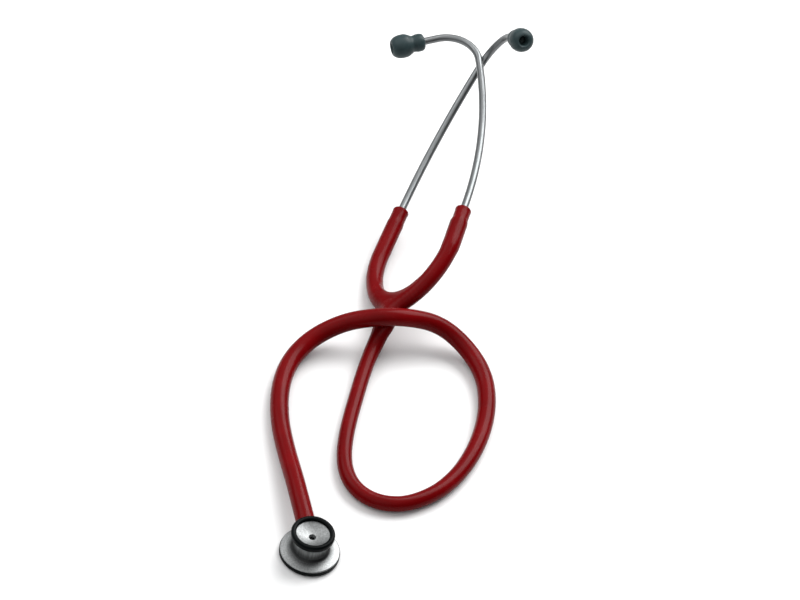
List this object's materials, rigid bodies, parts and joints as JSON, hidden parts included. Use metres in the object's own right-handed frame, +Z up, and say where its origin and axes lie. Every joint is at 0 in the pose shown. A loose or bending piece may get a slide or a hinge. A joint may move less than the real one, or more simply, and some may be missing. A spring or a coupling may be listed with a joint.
{
  "type": "stethoscope",
  "caption": "Small acoustic stethoscope with a two-sided chestpiece, one-piece Y tubing, sprung metal ear tubes and soft eartips.",
  "frame": {"origin": "centre of the diaphragm's face, on the surface the stethoscope lies on", "axes": "+Z up, out of the bell; +Y from the chestpiece towards the headset; +X to the right with the chestpiece nearest"},
  "size_m": [0.1132, 0.3522, 0.091],
  "materials": {
    "polished_steel": "polished",
    "diaphragm_resin": "gloss",
    "rim_rubber": "satin",
    "spring_steel": "brushed",
    "brass_plug": "satin",
    "red_tubing": "satin",
    "ear_tube_aluminium": "polished",
    "nipple_plastic": "matte",
    "eartip_rubber": "satin"
  },
  "bodies": {
    "tube_and_spring": {"tubing": "red_tubing", "yoke": "red_tubing", "binaural_spring": "spring_steel", "stem": "polished_steel", "stem_o_ring": "rim_rubber"},
    "chestpiece": {"chestpiece_body": "polished_steel", "diaphragm": "diaphragm_resin", "diaphragm_rim": "rim_rubber", "bell_rim": "rim_rubber", "stem_retaining_ring": "spring_steel", "detent_ball": "spring_steel", "detent_spring": "spring_steel", "detent_plug": "brass_plug"},
    "left_arm": {"left_ferrule": "spring_steel"},
    "right_arm": {"right_ferrule": "spring_steel"},
    "left_ear": {"left_ear_tube": "ear_tube_aluminium", "left_eartip_nipple": "nipple_plastic", "left_eartip": "eartip_rubber"},
    "right_ear": {"right_ear_tube": "ear_tube_aluminium", "right_eartip_nipple": "nipple_plastic", "right_eartip": "eartip_rubber"}
  },
  "joints": [
    {"name": "left_arm_spread", "type": "hinge", "parent": "tube_and_spring", "child": "left_arm", "pos_m": [0.00882, 0.17573, 0.00982], "axis": [-0.9427, 0.0807, 0.3238], "range_deg": [0, 6], "stiffness_Nm_per_rad": 0.9, "deforming": ["yoke", "binaural_spring"]},
    {"name": "right_arm_spread", "type": "hinge", "parent": "tube_and_spring", "child": "right_arm", "pos_m": [0.02347, 0.17125, 0.02269], "axis": [0.9427, -0.0807, -0.3238], "range_deg": [0, 30], "stiffness_Nm_per_rad": 0.9, "deforming": ["yoke", "binaural_spring"]},
    {"name": "left_ear_tube_turn", "type": "hinge", "parent": "left_arm", "child": "left_ear", "pos_m": [0.00885, 0.23894, 0.0129], "axis": [0.1795, 0.9618, 0.2068], "range_deg": [0, 45]},
    {"name": "right_ear_tube_turn", "type": "hinge", "parent": "right_arm", "child": "right_ear", "pos_m": [0.04045, 0.22134, 0.04028], "axis": [0.1075, 0.9838, 0.1435], "range_deg": [0, 45]},
    {"name": "chestpiece_swivel", "type": "hinge", "parent": "tube_and_spring", "child": "chestpiece", "pos_m": [0, 0, 0.0092], "axis": [-0.3827, 0.9239, 0], "continuous": true}
  ]
}
